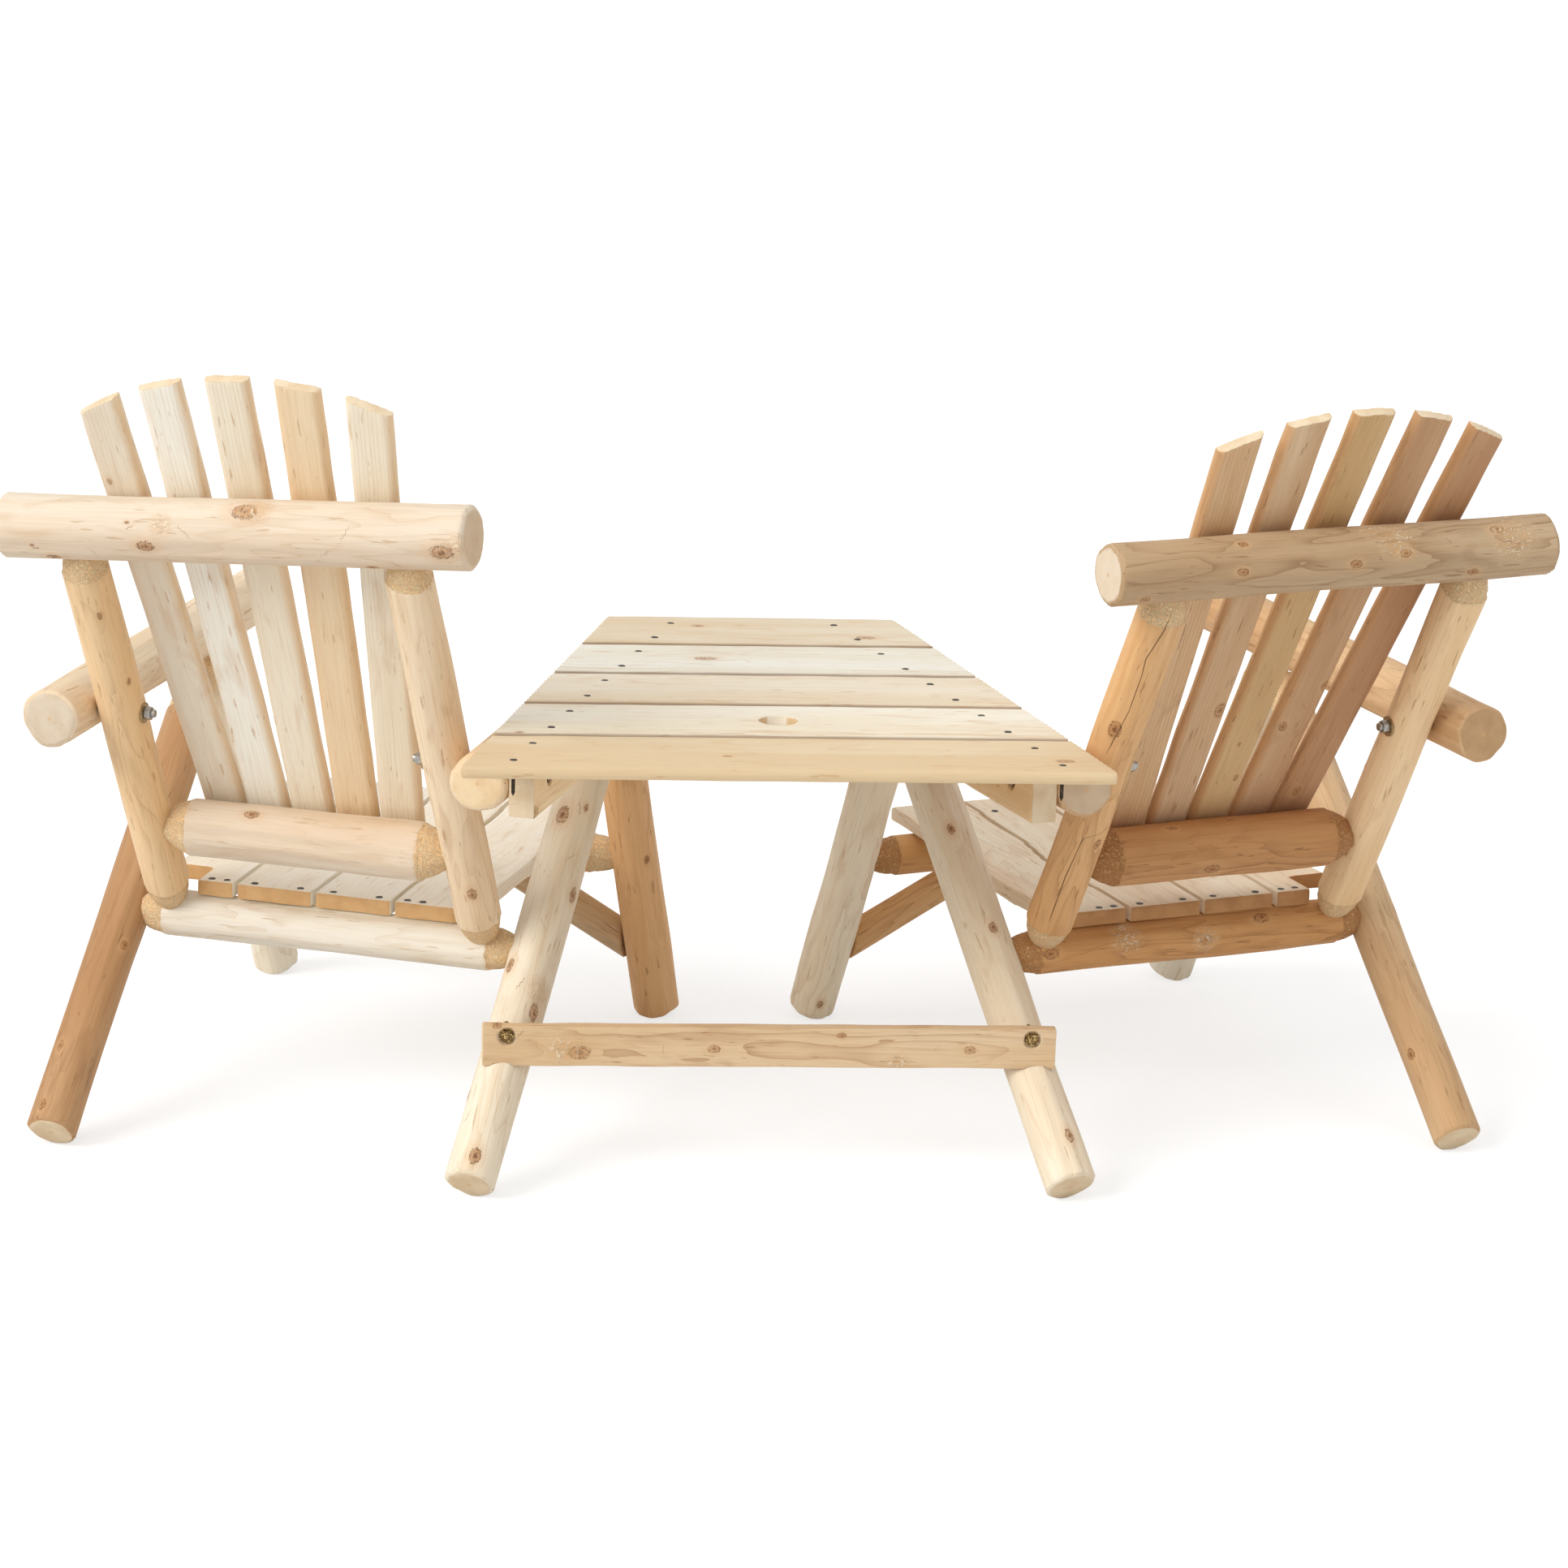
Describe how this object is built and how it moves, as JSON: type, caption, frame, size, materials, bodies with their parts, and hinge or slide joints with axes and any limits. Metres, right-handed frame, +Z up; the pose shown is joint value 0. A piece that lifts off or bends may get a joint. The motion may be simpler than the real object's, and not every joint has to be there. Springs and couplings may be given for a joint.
{
  "type": "log tete-a-tete",
  "caption": "Two low peeled-log chairs turned toward each other, with a trapezoid board table between them that has an umbrella hole.",
  "frame": {"origin": "middle of the overall box, on the floor", "axes": "+X to the left-hand chair as a sitter faces out (the long way of the piece), -Y the way the seats face, +Z up"},
  "size_m": [1.8426, 1.0534, 1.0044],
  "materials": {
    "pale_cedar": "peeled, matt, unfinished",
    "tan_cedar": "peeled, matt, unfinished",
    "board_cedar": "planed, matt, unfinished",
    "zinc_steel": "zinc plated",
    "bronzed_steel": "dark bronze coating"
  },
  "bodies": {
    "root": {"left_outer_arm": "pale_cedar", "left_inner_arm": "pale_cedar", "left_outer_front_leg": "pale_cedar", "left_inner_front_leg": "pale_cedar", "left_outer_rear_leg": "pale_cedar", "left_inner_rear_leg": "pale_cedar", "left_outer_post": "pale_cedar", "left_inner_post": "pale_cedar", "left_top_rail": "pale_cedar", "left_lower_back_rail": "pale_cedar", "left_rear_seat_rail": "pale_cedar", "left_front_seat_rail": "pale_cedar", "left_outer_brace": "pale_cedar", "left_inner_brace": "pale_cedar", "left_back_slat_1": "pale_cedar", "left_back_slat_2": "pale_cedar", "left_back_slat_3": "pale_cedar", "left_back_slat_4": "pale_cedar", "left_back_slat_5": "pale_cedar", "left_seat_slat_1": "pale_cedar", "left_seat_slat_2": "pale_cedar", "left_seat_slat_3": "pale_cedar", "left_seat_slat_4": "pale_cedar", "right_outer_arm": "tan_cedar", "right_inner_arm": "tan_cedar", "right_outer_front_leg": "tan_cedar", "right_inner_front_leg": "tan_cedar", "right_outer_rear_leg": "tan_cedar", "right_inner_rear_leg": "tan_cedar", "right_outer_post": "tan_cedar", "right_inner_post": "tan_cedar", "right_top_rail": "tan_cedar", "right_lower_back_rail": "tan_cedar", "right_rear_seat_rail": "tan_cedar", "right_front_seat_rail": "tan_cedar", "right_outer_brace": "tan_cedar", "right_inner_brace": "tan_cedar", "right_back_slat_1": "tan_cedar", "right_back_slat_2": "tan_cedar", "right_back_slat_3": "tan_cedar", "right_back_slat_4": "tan_cedar", "right_back_slat_5": "tan_cedar", "right_seat_slat_1": "tan_cedar", "right_seat_slat_2": "tan_cedar", "right_seat_slat_3": "tan_cedar", "right_seat_slat_4": "tan_cedar", "table_board_1": "board_cedar", "table_board_2": "board_cedar", "table_board_3": "board_cedar", "table_board_4": "board_cedar", "table_board_5": "board_cedar", "left_table_cleat": "board_cedar", "right_table_cleat": "board_cedar", "rear_stretcher": "tan_cedar", "slat_screws": "zinc_steel", "table_screws": "zinc_steel", "lag_bolts": "bronzed_steel", "arm_bolts": "zinc_steel", "arm_nuts": "zinc_steel", "arm_washers": "zinc_steel"}
  },
  "joints": []
}
